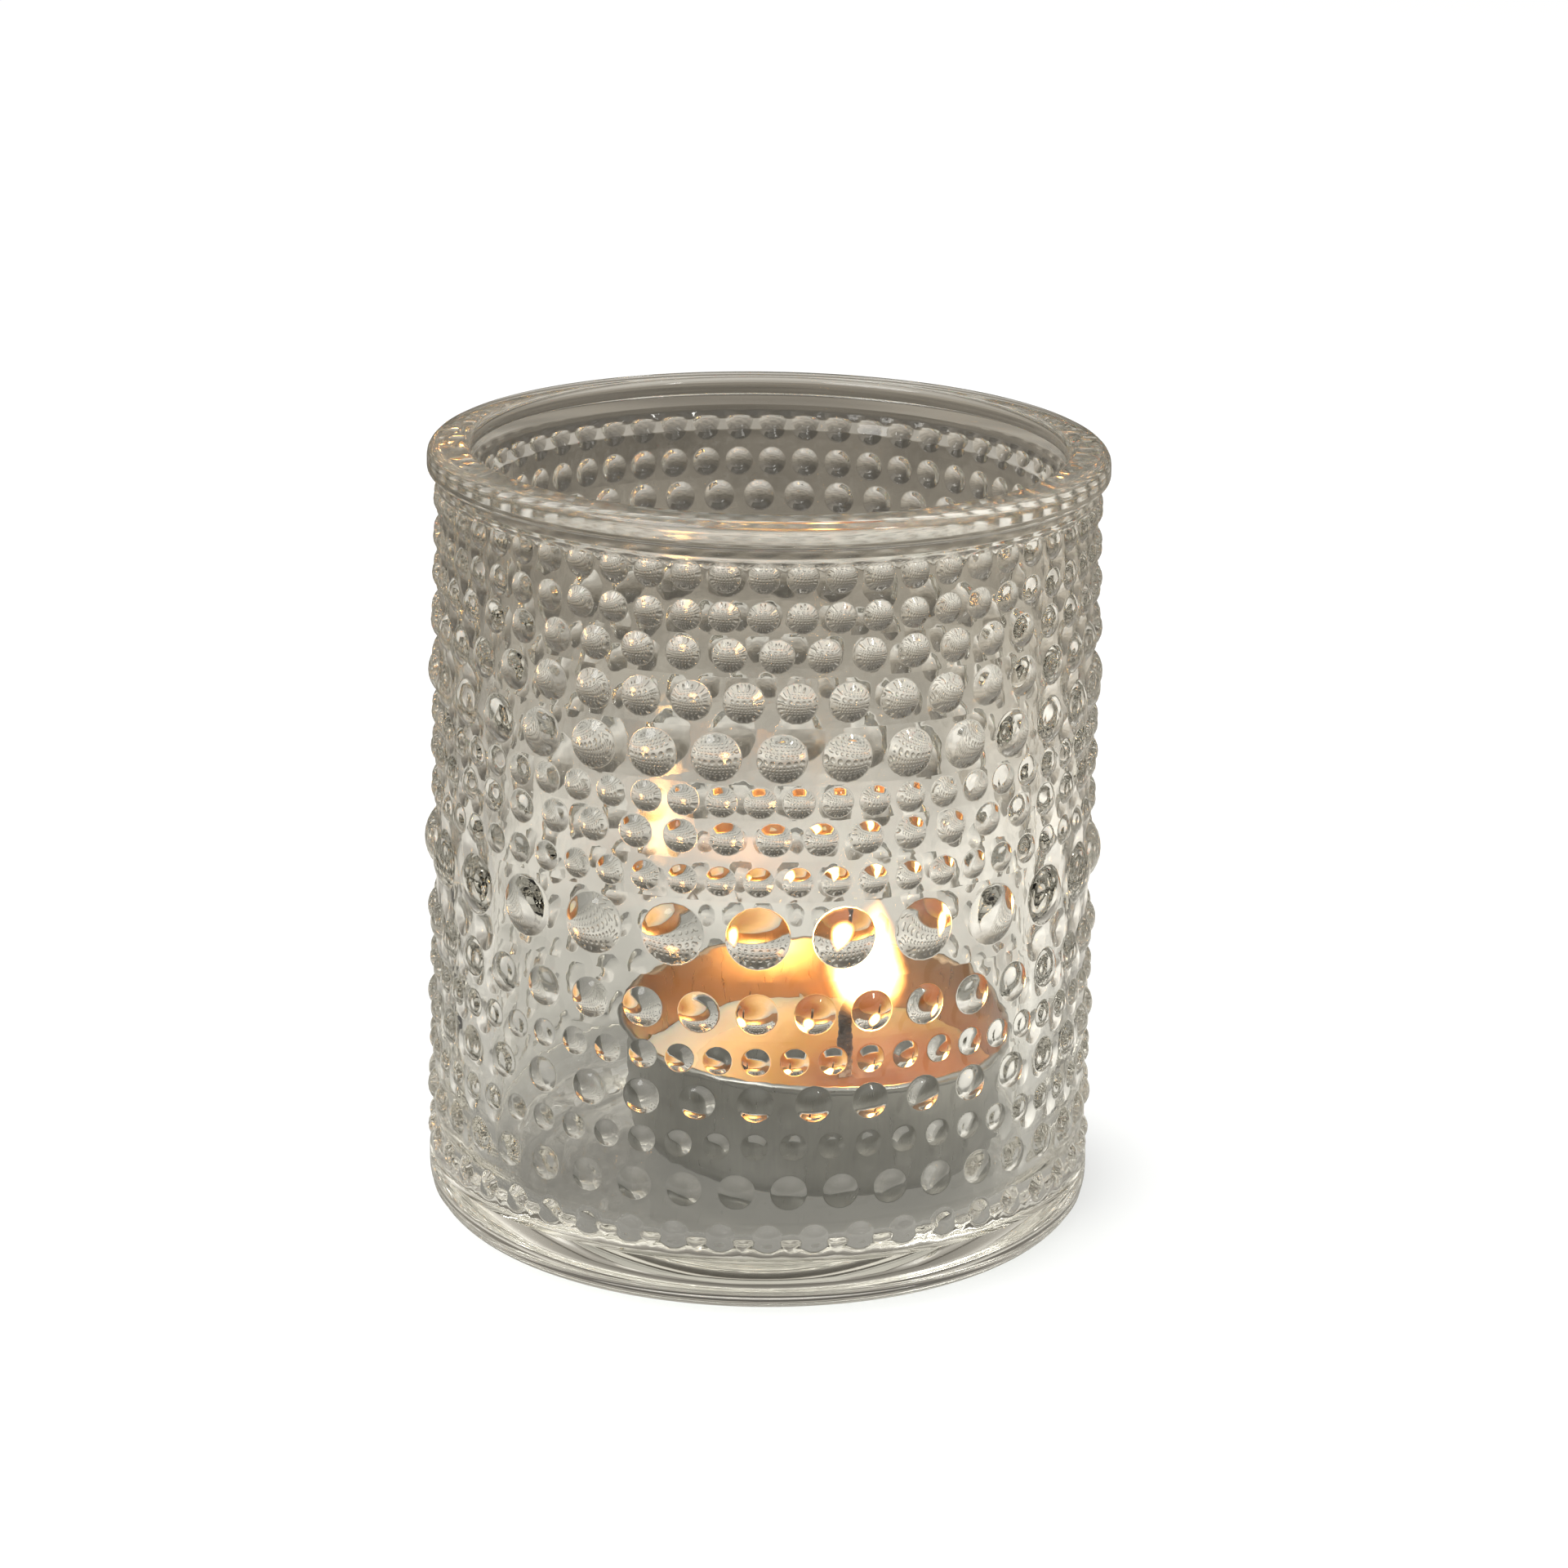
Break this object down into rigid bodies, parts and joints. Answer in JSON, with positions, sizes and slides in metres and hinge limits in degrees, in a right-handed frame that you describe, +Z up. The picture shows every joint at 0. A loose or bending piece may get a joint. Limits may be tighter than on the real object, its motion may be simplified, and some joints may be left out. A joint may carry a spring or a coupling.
{
  "type": "tealight holder",
  "caption": "Hobnail-textured pressed glass tumbler with a rounded rim flange and heavy base, holding an aluminium-cupped tealight that lifts out.",
  "frame": {"origin": "centre of the holder's underside, on the plane of its contact ring", "axes": "+Z up along the holder's axis, -Y towards the viewer's front, +X to the right"},
  "size_m": [0.0644, 0.0644, 0.0752],
  "materials": {
    "pressed_glass": "clear pressed glass with a faint grey tint",
    "cup_aluminium": "thin drawn foil, satin",
    "candle_wax": "translucent white paraffin, melted around the wick",
    "wick_cotton": "braided cotton, charred at the tip",
    "sustainer_steel": "tinned steel"
  },
  "bodies": {
    "holder": {"glass_holder": "pressed_glass"},
    "tealight": {"tealight_cup": "cup_aluminium", "wax": "candle_wax", "wick": "wick_cotton", "wick_sustainer": "sustainer_steel"}
  },
  "joints": [
    {"name": "tealight_lift", "type": "slide", "parent": "holder", "child": "tealight", "axis": [0, 0, 1], "range_m": [0, 0.085]}
  ]
}
